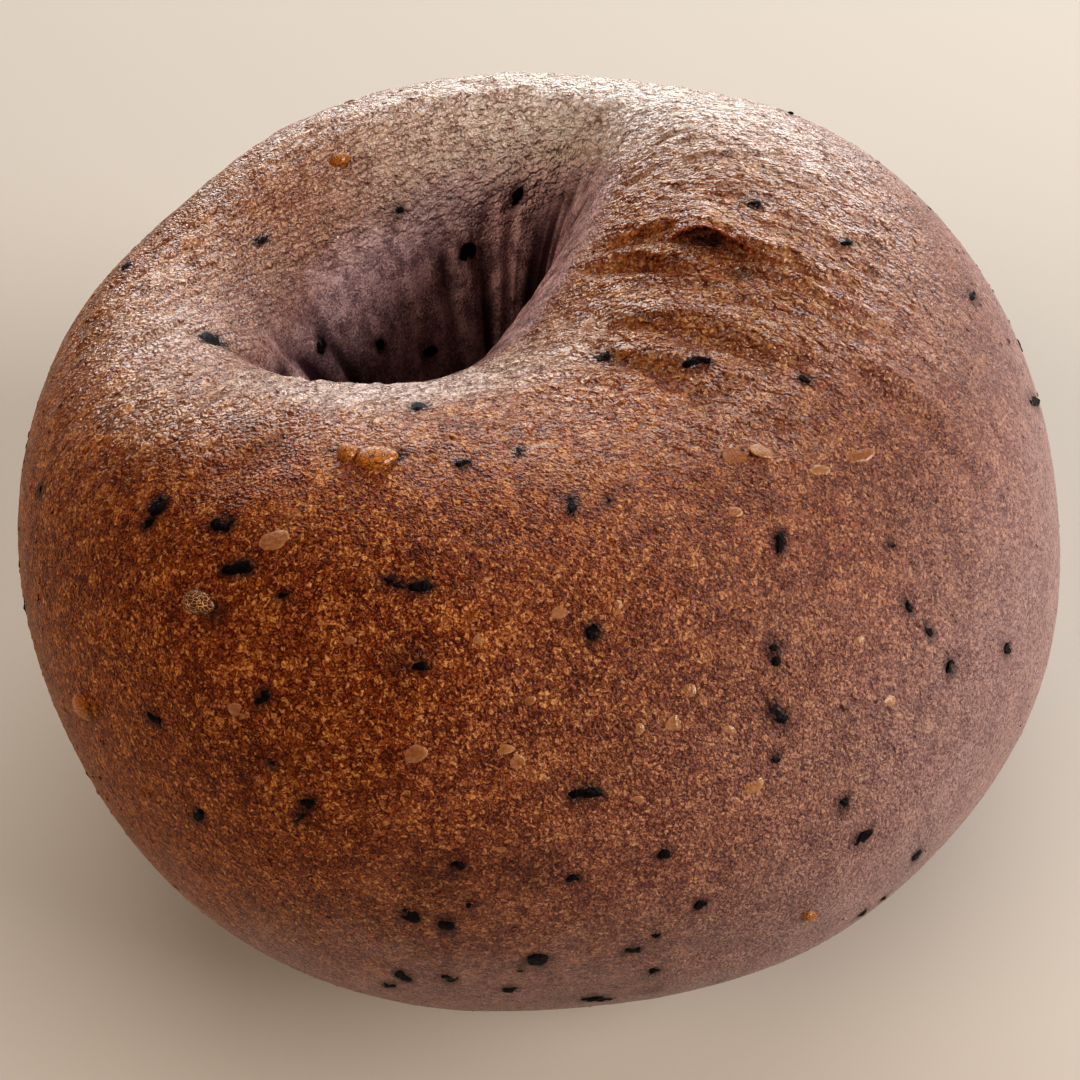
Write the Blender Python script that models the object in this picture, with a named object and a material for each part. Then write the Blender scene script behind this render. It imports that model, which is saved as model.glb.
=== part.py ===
"""A plump berry bagel: one baked ring of dough with a narrow, slanting hole.

Metres, +Z up. It rests on z = 0, with the middle of its width and depth at the origin, and its front
faces -Y. A place on the ring is given by two angles in degrees: turn, counted round the ring from +X,
and roll, counted round the dough: 0 on the belly, 90 on the crown, 180 at the hole's waist, 270 below.
"""

import math

import bmesh
import bpy
import numpy as np
from mathutils import Matrix, Vector

MM = 0.001

# The ring. A wave is (waves in one turn, height, turn of its first crest), so the ring is uneven.
REACH = 46.6 * MM  # from the ring's middle out to the belly
REACH_WAVES = ((2, 0.6 * MM, 97), (3, 0.6 * MM, -22))
CROWN_HEIGHT = 49.7 * MM
CROWN_WAVES = ((1, 2.3 * MM, -31), (2, 1.0 * MM, 47), (3, 1.3 * MM, 6))
CROWN_SEAT = 0.48  # where the crown lies, as a share of the way from the waist to the belly
CROWN_SEAT_WAVES = ((1, 0.07, 197),)
BELLY_HEIGHT = 22.9 * MM
FOOT_DEPTH = 2.5 * MM  # how far the round dough would reach below the board it lies flat on
SHOULDER_POWER = 2.2  # 2 is an ellipse, and more is squarer
FOOT_POWER = 2.25
MOUTH_POWER = 2.06
MOUTH_WAVES = ((1, 0.17, 3), (2, 0.1, 21))

# The hole's waist, a long slit that stands off the ring's middle
WAIST_HEIGHT = 20.1 * MM
WAIST_MIDDLE = (-9.8 * MM, 12.8 * MM)
WAIST_LENGTH = 28.8 * MM
WAIST_WIDTH = 7.4 * MM
WAIST_TURN = 51

# The faces. Columns go round the ring and crowd together on its wrinkled shoulder.
COLUMNS = 126
COLUMN_CROWDING = 0.35
CROWDED_TURN = 315
SHOULDER_ROWS = 13
MOUTH_ROWS = 13
INNER_FOOT_ROWS = 4
OUTER_FOOT_ROWS = 7

# Marks in the crust: where each starts and ends, as (turn, roll), then its half width and its height.
# A height below zero is a crease.
MARK_STEPS = 14
MARKS = (
    ((250, 96), (238, 79), 1.6 * MM, -0.55 * MM),  # furrow on the left shoulder
    ((328, 71), (329, 58), 1.1 * MM, -0.5 * MM),  # crease at the right
    ((338, 97), (337, 88), 1.5 * MM, -0.7 * MM),  # hollow in front of the blister
    ((343, 104), (337, 82), 2.4 * MM, 0.8 * MM),  # swelling behind it
    ((279, 147), (262, 140), 2.2 * MM, 0.9 * MM),  # lobe on the hole's near lip
    ((203, 115), (208, 140), 1.2 * MM, -0.8 * MM),  # notch at the hole's left corner
    ((313, 108), (323.5, 78.5), 0.9 * MM, -0.45 * MM),  # wrinkles over the right shoulder, each with its roll
    ((317, 108), (327.5, 79), 1.3 * MM, 0.35 * MM),
    ((307, 103), (310.5, 84.5), 0.8 * MM, -0.42 * MM),
    ((310.5, 103), (314, 86), 1.1 * MM, 0.3 * MM),
    ((329, 121), (330, 93), 0.8 * MM, -0.38 * MM),
    ((332, 121), (333, 96), 1.1 * MM, 0.32 * MM),
    ((336.5, 120), (337, 105), 0.8 * MM, -0.4 * MM),
    ((340, 120), (342, 106), 1.0 * MM, 0.3 * MM),
    ((271, 19), (285, 24), 1.3 * MM, -0.35 * MM),  # swirl low on the front
    ((278, 4), (290, -1), 1.3 * MM, -0.3 * MM),
    ((261, -8), (281, -8), 8.0 * MM, -0.6 * MM),  # the front of the belly is a little flat
)
PLEAT_COUNT = 15  # creases that run down the hole's wall to its waist
PLEAT_ROLLS = (134, 186)
PLEAT_WIDTH = 1.0 * MM
PLEAT_DEPTH = 0.75 * MM
LUMP_HEIGHT = 0.25 * MM
FADE_HEIGHT = 5.0 * MM  # marks die out over this height above the flat base
SEED = 7

# The blister that lifted on the right shoulder: its ridge passes through these places.
BLISTER_PATH = ((339, 104), (342, 98), (340, 90), (335, 81))
BLISTER_WIDTH = 2.8 * MM
BLISTER_HEIGHT = 1.4 * MM
BLISTER_SUNK = 0.3  # share of its height that its middle lies below the crust
BLISTER_STATIONS = 9
BLISTER_SIDES = 8

# Bits that stand proud of the crust. Each place is (turn, roll, lean of its length off the turn, scale).
PIP_SIZE = (3.3 * MM, 2.0 * MM, 1.7 * MM)
PIP_PLACES = ((262, 90, 12, 1.0), (258, 91, 0, 0.6), (240, 58, 60, 0.85), (224, 24, 70, 0.8), (134, 105, 0, 0.6))
FLAKE_SIZE = (3.6 * MM, 2.2 * MM, 0.7 * MM)
FLAKE_PLACES = ((308, 75, 20, 1.0), (261, 43, 10, 0.6), (248, 72, 0, 0.75), (283, 62, 80, 0.5))
FLECK_SIZE = (2.4 * MM, 1.2 * MM, 0.7 * MM)
FLECK_PLACES = (
    (294, 43, -40, 1.0),
    (275, 37, 10, 1.2),
    (263, 69, -10, 1.5),
    (244, 66, 15, 1.0),
    (284, 79, 80, 0.7),
    (303, 63, 90, 0.9),
    (232, 71, 60, 0.8),
    (299, 17, 50, 0.9),
    (269, 6, 0, 0.8),
    (280, 60, 70, 0.7),
)
HELD_IN = 0.35  # share of a bit's thickness that its middle lies below the crust
BIT_SEGMENTS = 6
BIT_RINGS = 4


def waved(base, waves, turn):
    """A size that swells and shrinks along the ring."""
    for count, height, crest in waves:
        base = base + height * np.cos(count * np.radians(turn - crest))
    return base


def ring_points(turn, roll):
    """Points of the ring before its marks. turn is a column of angles and roll a row of them."""
    turn = np.asarray(turn, float)
    roll = np.mod(np.asarray(roll, float), 360)
    reach = waved(REACH, REACH_WAVES, turn)
    crown = waved(CROWN_HEIGHT, CROWN_WAVES, turn)
    seat = waved(CROWN_SEAT, CROWN_SEAT_WAVES, turn)
    mouth = waved(MOUTH_POWER, MOUTH_WAVES, turn)
    quarter = roll // 90
    part = np.radians(roll - 90 * quarter)
    shoulder = quarter == 0
    power = np.where(shoulder, SHOULDER_POWER, np.where(quarter == 1, mouth, FOOT_POWER))
    sine = np.sin(part) ** (2 / power)
    cosine = np.maximum(np.cos(part), 0) ** (2 / power)
    shares = [seat + (1 - seat) * cosine, seat - seat * sine, seat - seat * cosine, seat + (1 - seat) * sine]
    heights = [
        BELLY_HEIGHT + (crown - BELLY_HEIGHT) * sine,
        WAIST_HEIGHT + (crown - WAIST_HEIGHT) * cosine,
        WAIST_HEIGHT - (WAIST_HEIGHT + FOOT_DEPTH) * sine,
        BELLY_HEIGHT - (BELLY_HEIGHT + FOOT_DEPTH) * cosine,
    ]
    cases = [shoulder, quarter == 1, quarter == 2, quarter == 3]
    share = np.select(cases, shares)
    height = np.maximum(np.select(cases, heights), 0)
    angle = np.radians(turn)
    slit = np.radians(WAIST_TURN)
    along = WAIST_LENGTH / 2 * np.cos(angle - slit)
    across = WAIST_WIDTH / 2 * np.sin(angle - slit)
    waist_x = WAIST_MIDDLE[0] + along * np.cos(slit) - across * np.sin(slit)
    waist_y = WAIST_MIDDLE[1] + along * np.sin(slit) + across * np.cos(slit)
    x = waist_x + (reach * np.cos(angle) - waist_x) * share
    y = waist_y + (reach * np.sin(angle) - waist_y) * share
    return np.stack(np.broadcast_arrays(x, y, height), -1)


def ring_normals(turn, roll):
    """Outward unit normals of the ring before its marks."""
    step = 0.5
    along = ring_points(turn + step, roll) - ring_points(turn - step, roll)
    round_dough = ring_points(turn, roll + step) - ring_points(turn, roll - step)
    normal = np.cross(along, round_dough)
    return normal / np.linalg.norm(normal, axis=-1, keepdims=True)


def all_marks():
    """The marks of the crust, those drawn by a rule among them."""
    random = np.random.default_rng(SEED)
    marks = list(MARKS)
    for index in range(PLEAT_COUNT):
        turn = 360 * index / PLEAT_COUNT + random.uniform(-6, 6)
        first = PLEAT_ROLLS[0] + random.uniform(-6, 10)
        depth = -PLEAT_DEPTH * random.uniform(0.4, 1.0)
        marks.append(((turn, first), (turn - random.uniform(-3, 5), PLEAT_ROLLS[1]), PLEAT_WIDTH, depth))
    return marks


def relief(points):
    """How far each point moves out of the ring, from the lumps and marks of its crust."""
    x, y, z = (points[..., axis] / REACH for axis in range(3))
    height = LUMP_HEIGHT * (np.sin(5 * x + 2 * z + 1) * np.cos(4 * y - 3 * z) + 0.6 * np.sin(9 * y + 7 * x))
    for start, end, width, top in all_marks():
        steps = np.linspace(0, 1, MARK_STEPS)
        turns = start[0] + (end[0] - start[0]) * steps
        rolls = start[1] + (end[1] - start[1]) * steps
        path = ring_points(turns, rolls)
        far = np.linalg.norm(points[..., None, :] - path, axis=-1)
        fade = np.sqrt(np.sin(math.pi * (0.06 + 0.88 * steps)))
        height += top * (fade * np.exp(-((far / width) ** 2))).max(axis=-1)
    return height * np.clip(points[..., 2] / FADE_HEIGHT, 0, 1)


def crust_points(turn, roll):
    """Points of the finished crust."""
    points = ring_points(turn, roll)
    moved = points + ring_normals(turn, roll) * relief(points)[..., None]
    moved[..., 2] = np.where(points[..., 2] > 0, np.maximum(moved[..., 2], 0), 0)
    return moved


def rolls_of_rows():
    """The roll of each row of points. The flat base is the one wide step between the two foot edges."""
    inner = (WAIST_HEIGHT / (WAIST_HEIGHT + FOOT_DEPTH)) ** (FOOT_POWER / 2)
    outer = (BELLY_HEIGHT / (BELLY_HEIGHT + FOOT_DEPTH)) ** (FOOT_POWER / 2)
    inner_edge = 180 + math.degrees(math.asin(inner))
    outer_edge = 270 + math.degrees(math.acos(outer))
    return np.concatenate(
        [
            np.linspace(0, 90, SHOULDER_ROWS, endpoint=False),
            np.linspace(90, 180, MOUTH_ROWS, endpoint=False),
            np.linspace(180, inner_edge, INNER_FOOT_ROWS + 1),
            np.linspace(outer_edge, 360, OUTER_FOOT_ROWS, endpoint=False),
        ]
    )


def turns_of_columns():
    even = np.linspace(0, 360, COLUMNS, endpoint=False)
    return even - COLUMN_CROWDING * np.degrees(np.sin(np.radians(even - CROWDED_TURN)))


def make_material(name, color, roughness, metallic=0.0):
    material = bpy.data.materials.new(name)
    material.use_nodes = True
    shader = material.node_tree.nodes["Principled BSDF"]
    shader.inputs["Base Color"].default_value = (*color, 1)
    shader.inputs["Roughness"].default_value = roughness
    shader.inputs["Metallic"].default_value = metallic
    return material


def make_object(name, mesh, material, collection):
    mesh.materials.append(material)
    made = bpy.data.objects.new(name, mesh)
    collection.objects.link(made)
    return made


def make_ring(material):
    """The ring as a closed grid of quads."""
    points = crust_points(turns_of_columns()[:, None], rolls_of_rows()[None, :])
    columns, rows = points.shape[:2]
    faces = []
    for column in range(columns):
        after = (column + 1) % columns
        for row in range(rows):
            above = (row + 1) % rows
            faces.append((column * rows + row, after * rows + row, after * rows + above, column * rows + above))
    mesh = bpy.data.meshes.new("bagel")
    mesh.from_pydata(points.reshape(-1, 3).tolist(), [], faces)
    return make_object("bagel", mesh, material, bpy.context.scene.collection)


def crust_frame(turn, roll, lean):
    """A matrix on the crust: X along the bit, Z out of the dough."""
    step = 0.5
    here = crust_points(turn, roll)
    along = Vector(crust_points(turn + step, roll) - crust_points(turn - step, roll)).normalized()
    out = Vector(ring_normals(turn, roll))
    side = out.cross(along).normalized()
    along = side.cross(out)
    turned = along * math.cos(math.radians(lean)) + side * math.sin(math.radians(lean))
    frame = Matrix((turned, out.cross(turned), out)).transposed().to_4x4()
    frame.translation = Vector(here)
    return frame


def make_bits(name, size, places, material, collection):
    """Small rounded bits, each sunk partly into the crust."""
    for index, (turn, roll, lean, scale) in enumerate(places):
        shape = bmesh.new()
        bmesh.ops.create_uvsphere(shape, u_segments=BIT_SEGMENTS, v_segments=BIT_RINGS, radius=0.5)
        # The poles of the ball lie along the bit's length.
        shape.transform(Matrix.Rotation(math.pi / 2, 4, "Y"))
        shape.transform(Matrix.Diagonal((*(scale * side for side in size), 1)))
        shape.transform(Matrix.Translation((0, 0, -HELD_IN * scale * size[2])))
        shape.transform(crust_frame(turn, roll, lean))
        mesh = bpy.data.meshes.new(f"{name}_{index}")
        shape.to_mesh(mesh)
        shape.free()
        make_object(mesh.name, mesh, material, collection)


def make_blister(material, collection):
    """A long blister, thickest near its start and tapered to a point at both ends."""
    stops = np.linspace(0, 1, len(BLISTER_PATH))
    shape = bmesh.new()
    loops = []
    for station in range(BLISTER_STATIONS):
        share = station / (BLISTER_STATIONS - 1)
        turn = np.interp(share, stops, [place[0] for place in BLISTER_PATH])
        roll = np.interp(share, stops, [place[1] for place in BLISTER_PATH])
        frame = crust_frame(turn, roll, 90)
        bulk = 0.15 + 0.85 * math.sin(math.pi * share**0.7)
        loop = []
        for side in range(BLISTER_SIDES):
            angle = 2 * math.pi * side / BLISTER_SIDES
            across = BLISTER_WIDTH / 2 * bulk * math.cos(angle)
            up = BLISTER_HEIGHT * bulk * (math.sin(angle) - BLISTER_SUNK)
            loop.append(shape.verts.new(frame @ Vector((0, across, up))))
        loops.append(loop)
    for before, after in zip(loops, loops[1:]):
        for side in range(BLISTER_SIDES):
            following = (side + 1) % BLISTER_SIDES
            shape.faces.new((before[side], before[following], after[following], after[side]))
    shape.faces.new(loops[0])
    shape.faces.new(loops[-1])
    bmesh.ops.recalc_face_normals(shape, faces=shape.faces)
    mesh = bpy.data.meshes.new("blister")
    shape.to_mesh(mesh)
    shape.free()
    make_object(mesh.name, mesh, material, collection)


def fuse(ring, collection):
    """Joins the collection's objects to the ring, and removes them."""
    modifier = ring.modifiers.new("fused bits", "BOOLEAN")
    modifier.operation = "UNION"
    modifier.operand_type = "COLLECTION"
    modifier.collection = collection
    modifier.solver = "EXACT"
    modifier.material_mode = "TRANSFER"
    graph = bpy.context.evaluated_depsgraph_get()
    joined = bpy.data.meshes.new_from_object(ring.evaluated_get(graph))
    ring.modifiers.clear()
    plain = ring.data
    ring.data = joined
    bpy.data.meshes.remove(plain)
    joined.name = "bagel"
    for bit in list(collection.objects):
        bpy.data.objects.remove(bit)
    bpy.data.collections.remove(collection)


def rest_at_origin(ring):
    """Puts the middle of the ring's width and depth at the origin, and its base on z = 0."""
    corners = np.array([corner[:] for corner in ring.bound_box])
    low, high = corners.min(axis=0), corners.max(axis=0)
    ring.data.transform(Matrix.Translation((-(low[0] + high[0]) / 2, -(low[1] + high[1]) / 2, -low[2])))


def main():
    for old in list(bpy.data.objects):
        bpy.data.objects.remove(old)
    crust = make_material("browned crust", (0.20, 0.055, 0.018), 0.45)
    pip = make_material("berry pip", (0.40, 0.17, 0.045), 0.35)
    flake = make_material("grain flake", (0.36, 0.17, 0.075), 0.4)
    skin = make_material("berry skin", (0.012, 0.010, 0.014), 0.5)
    bits = bpy.data.collections.new("bits")
    bpy.context.scene.collection.children.link(bits)
    ring = make_ring(crust)
    make_blister(crust, bits)
    make_bits("pip", PIP_SIZE, PIP_PLACES, pip, bits)
    make_bits("flake", FLAKE_SIZE, FLAKE_PLACES, flake, bits)
    make_bits("fleck", FLECK_SIZE, FLECK_PLACES, skin, bits)
    fuse(ring, bits)
    rest_at_origin(ring)
    ring.data.shade_smooth()
    ring.data.set_sharp_from_angle(angle=math.radians(50))


main()
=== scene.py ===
# A plump berry bagel: its crust, the blister on its shoulder, and the berry and bran bits baked into it.
# Metres, +Z up, resting on z = 0. The camera looks along +Y and down on it.
import math

import bmesh
import bpy
import numpy as np
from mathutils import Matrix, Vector
from mathutils.bvhtree import BVHTree
from mathutils.kdtree import KDTree


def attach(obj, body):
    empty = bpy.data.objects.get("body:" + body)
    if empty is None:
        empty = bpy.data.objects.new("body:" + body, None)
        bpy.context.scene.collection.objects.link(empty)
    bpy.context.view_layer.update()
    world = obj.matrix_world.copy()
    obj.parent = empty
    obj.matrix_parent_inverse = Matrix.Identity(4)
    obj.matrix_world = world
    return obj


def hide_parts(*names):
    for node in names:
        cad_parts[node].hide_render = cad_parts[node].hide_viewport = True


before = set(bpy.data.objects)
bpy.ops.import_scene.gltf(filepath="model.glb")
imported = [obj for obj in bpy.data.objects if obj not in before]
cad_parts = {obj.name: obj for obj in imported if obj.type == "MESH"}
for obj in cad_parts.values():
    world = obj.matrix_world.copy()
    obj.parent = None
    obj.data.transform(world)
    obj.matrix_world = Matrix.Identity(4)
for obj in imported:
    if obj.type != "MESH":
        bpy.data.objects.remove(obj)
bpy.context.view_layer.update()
mm = 0.001
print("frame loaded")


# ---- node helpers

class Amount:
    # an output socket that adds, multiplies and divides as a number does
    def __init__(self, tree, socket):
        self.tree = tree
        self.socket = socket

    def __add__(self, other):
        return calc("ADD", self, other)

    def __radd__(self, other):
        return calc("ADD", other, self)

    def __sub__(self, other):
        return calc("SUBTRACT", self, other)

    def __rsub__(self, other):
        return calc("SUBTRACT", other, self)

    def __mul__(self, other):
        return calc("MULTIPLY", self, other)

    def __rmul__(self, other):
        return calc("MULTIPLY", other, self)

    def __truediv__(self, other):
        return calc("DIVIDE", self, other)

    def __rtruediv__(self, other):
        return calc("DIVIDE", other, self)

    def __pow__(self, other):
        return calc("POWER", self, other)

    def __neg__(self):
        return calc("MULTIPLY", self, -1.0)


def treeOf(values):
    return next(value.tree for value in values if isinstance(value, Amount))


def feed(tree, socket, value):
    if isinstance(value, Amount):
        tree.links.new(value.socket, socket)
    else:
        socket.default_value = value


def addNode(tree, kind, inputs=None, output=0, **settings):
    # makes one node, sets it and feeds it, and gives one of its outputs
    node = tree.nodes.new(kind)
    for name, value in settings.items():
        setattr(node, name, value)
    for name, value in (inputs or {}).items():
        feed(tree, node.inputs[name], value)
    return Amount(tree, node.outputs[output])


def calc(operation, *values):
    return addNode(treeOf(values), "ShaderNodeMath", dict(enumerate(values)), operation=operation)


def vectorCalc(operation, *values, output=0):
    inputs = dict(enumerate(values))
    if operation == "SCALE":
        inputs = {0: values[0], "Scale": values[1]}
    return addNode(treeOf(values), "ShaderNodeVectorMath", inputs, output, operation=operation)


def cosine(degrees):
    return calc("COSINE", degrees * (math.pi / 180))


def sine(degrees):
    return calc("SINE", degrees * (math.pi / 180))


def vector(x, y, z):
    return addNode(treeOf((x, y, z)), "ShaderNodeCombineXYZ", {"X": x, "Y": y, "Z": z})


def split(value):
    node = value.tree.nodes.new("ShaderNodeSeparateXYZ")
    value.tree.links.new(value.socket, node.inputs[0])
    return [Amount(value.tree, socket) for socket in node.outputs]


def ramp(value, low, high, first=0.0, last=1.0, smooth=True):
    # runs from first to last while the value goes from low to high
    inputs = {"Value": value, "From Min": low, "From Max": high, "To Min": first, "To Max": last}
    kind = "SMOOTHSTEP" if smooth else "LINEAR"
    return addNode(treeOf((value, low, high)), "ShaderNodeMapRange", inputs, interpolation_type=kind)


def noise(place, scale, detail=2.0, output="Fac"):
    inputs = {"Vector": place, "Scale": scale, "Detail": detail, "Roughness": 0.5}
    return addNode(place.tree, "ShaderNodeTexNoise", inputs, output)


def cells(place, scale, feature="F1", rough=1.0):
    inputs = {"Vector": place, "Scale": scale, "Randomness": rough}
    return addNode(place.tree, "ShaderNodeTexVoronoi", inputs, "Distance", feature=feature)


def alsoOf(value, output):
    # another output of the node that a value comes from
    return Amount(value.tree, value.socket.node.outputs[output])


def attributeOf(tree, name, output="Fac"):
    return addNode(tree, "ShaderNodeAttribute", output=output, attribute_name=name)


def placeInMm(tree):
    return vectorCalc("SCALE", addNode(tree, "ShaderNodeTexCoord", output="Object"), 1000.0)


def mixColours(share, first, second, blend="MIX"):
    tree = treeOf((share, first, second))
    node = tree.nodes.new("ShaderNodeMix")
    node.data_type = "RGBA"
    node.blend_type = blend
    for index, value in ((0, share), (6, first), (7, second)):
        value = (*value, 1.0) if isinstance(value, tuple) else value
        feed(tree, node.inputs[index], value)
    return Amount(tree, node.outputs[2])


def newTree(name, inputs, outputs):
    # a Geometry Nodes tree: inputs are name: (kind, value), and outputs are name: kind
    tree = bpy.data.node_groups.new(name, "GeometryNodeTree")
    for label, (kind, value) in inputs.items():
        socket = tree.interface.new_socket(label, in_out="INPUT", socket_type="NodeSocket" + kind)
        if value is not None:
            socket.default_value = value
    for label, kind in outputs.items():
        tree.interface.new_socket(label, in_out="OUTPUT", socket_type="NodeSocket" + kind)
    entry = tree.nodes.new("NodeGroupInput")
    leave = tree.nodes.new("NodeGroupOutput")
    given = {label: Amount(tree, entry.outputs[label]) for label in inputs}
    return tree, given, leave


def useGroup(tree, group, inputs, output=0):
    node = tree.nodes.new("GeometryNodeGroup")
    node.node_tree = group
    for label, value in inputs.items():
        feed(tree, node.inputs[label], value)
    return Amount(tree, node.outputs[output])


def storeOn(shape, name, value, kind="FLOAT"):
    inputs = {"Geometry": shape, "Name": name, "Value": value}
    return addNode(shape.tree, "GeometryNodeStoreNamedAttribute", inputs, data_type=kind, domain="POINT")


def readBack(tree, name, kind="FLOAT"):
    return addNode(tree, "GeometryNodeInputNamedAttribute", {"Name": name}, data_type=kind)


def addObject(name, data):
    thing = bpy.data.objects.new(name, data)
    bpy.context.scene.collection.objects.link(thing)
    return thing


def bakeTree(name, tree, values, start=None):
    # runs a tree on an object and keeps its result as a plain mesh
    piece = addObject(name, start or bpy.data.meshes.new(name))
    modifier = piece.modifiers.new("nodes", "NODES")
    modifier.node_group = tree
    sockets = {item.name: item.identifier for item in tree.interface.items_tree if item.in_out == "INPUT"}
    for label, value in values.items():
        modifier[sockets[label]] = value
    graph = bpy.context.evaluated_depsgraph_get()
    settings = {"preserve_all_data_layers": True, "depsgraph": graph}
    made = bpy.data.meshes.new_from_object(piece.evaluated_get(graph), **settings)
    piece.modifiers.clear()
    piece.data = made
    made.name = name
    return piece


def storeValues(mesh, name, values, kind="FLOAT"):
    # keeps a number or a vector for each point of a mesh
    field = "vector" if kind == "FLOAT_VECTOR" else "value"
    values = np.asarray(values, np.float32).ravel()
    mesh.attributes.new(name, kind, "POINT").data.foreach_set(field, values)


def newMaterial(name):
    material = bpy.data.materials.new(name)
    material.use_nodes = True
    return material, material.node_tree


def shade(tree, inputs, height=None, distance=0.0):
    # feeds the material's shader, and bumps it where a height is given
    shader = tree.nodes["Principled BSDF"]
    for label, value in inputs.items():
        feed(tree, shader.inputs[label], value)
    if height is not None:
        bump = {"Height": height, "Distance": distance, "Strength": 1.0}
        feed(tree, shader.inputs["Normal"], addNode(tree, "ShaderNodeBump", bump, "Normal"))


# ---- camera

view = {
    "imageSide": 1080,  # pixels
    "target": (-0.69 * mm, -3.14 * mm, 21.0 * mm),
    "distance": 116.7 * mm,
    "elevation": 48,
    "lens": 40.2,  # on a sensor 36 wide
    "sensor": 36,
}


def makeCamera():
    tilt = math.radians(view["elevation"])
    back = Vector((0, -math.cos(tilt), math.sin(tilt)))
    data = bpy.data.cameras.new("camera")
    data.lens = view["lens"]
    data.sensor_width = view["sensor"]
    data.clip_start = 5 * mm
    data.clip_end = 10
    camera = addObject("camera", data)
    camera.location = Vector(view["target"]) + back * view["distance"]
    camera.rotation_euler = (math.pi / 2 - tilt, 0, 0)
    bpy.context.scene.camera = camera
    return camera


def rayThrough(camera, x, y):
    # the line of sight through a pixel of the photograph
    middle = view["imageSide"] / 2
    reach = view["lens"] / view["sensor"] * view["imageSide"]
    across = Vector(((x - middle) / reach, (middle - y) / reach, -1))
    return (camera.rotation_euler.to_matrix() @ across).normalized()


camera = makeCamera()
print("camera made")


# ---- the ring of dough, by the same formula and sizes as the solid

ring = {
    # a wave is (waves in one turn, height, turn of its first crest)
    "middle": (-0.344 * mm, -0.571 * mm),
    "reach": 46.6 * mm,
    "reachWaves": ((2, 0.6 * mm, 97), (3, 0.6 * mm, -22)),
    "crownHeight": 49.7 * mm,
    "crownWaves": ((1, 2.3 * mm, -31), (2, 1.0 * mm, 47), (3, 1.3 * mm, 6)),
    "crownSeat": 0.48,
    "crownSeatWaves": ((1, 0.07, 197),),
    "bellyHeight": 22.9 * mm,
    "footDepth": 2.5 * mm,
    "shoulderPower": 2.2,
    "footPower": 2.25,
    "mouthPower": 2.06,
    "mouthWaves": ((1, 0.17, 3), (2, 0.1, 21)),
    "waistHeight": 20.1 * mm,
    "waistMiddle": (-9.8 * mm, 12.8 * mm),
    "waistLength": 28.8 * mm,
    "waistWidth": 7.4 * mm,
    "waistTurn": 51,
}


def waved(base, waves, turn):
    for count, height, crest in waves:
        base = base + height * cosine((turn - crest) * count)
    return base


def pick(choice, options):
    # the option whose number the choice is
    total = 0.0
    for number, option in enumerate(options):
        total = total + calc("COMPARE", choice, number, 0.5) * option
    return total


def makeRingTree():
    # a place on the ring from its turn round the hole and its roll round the dough, in degrees
    given = {"Turn": ("Float", 0.0), "Roll": ("Float", 0.0)}
    tree, given, leave = newTree("ringPlace", given, {"Place": "Vector"})
    turn = given["Turn"]
    roll = calc("FLOORED_MODULO", given["Roll"], 360.0)
    reach = waved(ring["reach"], ring["reachWaves"], turn)
    crown = waved(ring["crownHeight"], ring["crownWaves"], turn)
    seat = waved(ring["crownSeat"], ring["crownSeatWaves"], turn)
    mouth = waved(ring["mouthPower"], ring["mouthWaves"], turn)
    belly, waist, foot = ring["bellyHeight"], ring["waistHeight"], ring["footDepth"]
    quarter = calc("FLOOR", roll / 90)
    angle = roll - quarter * 90
    power = pick(quarter, (ring["shoulderPower"], mouth, ring["footPower"], ring["footPower"]))
    up = calc("MAXIMUM", sine(angle), 0.0) ** (2 / power)
    level = calc("MAXIMUM", cosine(angle), 0.0) ** (2 / power)
    share = pick(quarter, (
        seat + (1 - seat) * level,
        seat - seat * up,
        seat - seat * level,
        seat + (1 - seat) * up,
    ))
    height = pick(quarter, (
        belly + (crown - belly) * up,
        waist + (crown - waist) * level,
        waist - (waist + foot) * up,
        belly - (belly + foot) * level,
    ))
    slit = ring["waistTurn"]
    along = cosine(turn - slit) * (ring["waistLength"] / 2)
    across = sine(turn - slit) * (ring["waistWidth"] / 2)
    cosSlit, sinSlit = math.cos(math.radians(slit)), math.sin(math.radians(slit))
    waistX = along * cosSlit - across * sinSlit + ring["waistMiddle"][0]
    waistY = along * sinSlit + across * cosSlit + ring["waistMiddle"][1]
    x = waistX + (reach * cosine(turn) - waistX) * share
    y = waistY + (reach * sine(turn) - waistY) * share
    place = vector(x, y, calc("MAXIMUM", height, 0.0))
    tree.links.new(place.socket, leave.inputs["Place"])
    return tree


# ---- the crust's marks, by the same rule as the solid

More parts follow.
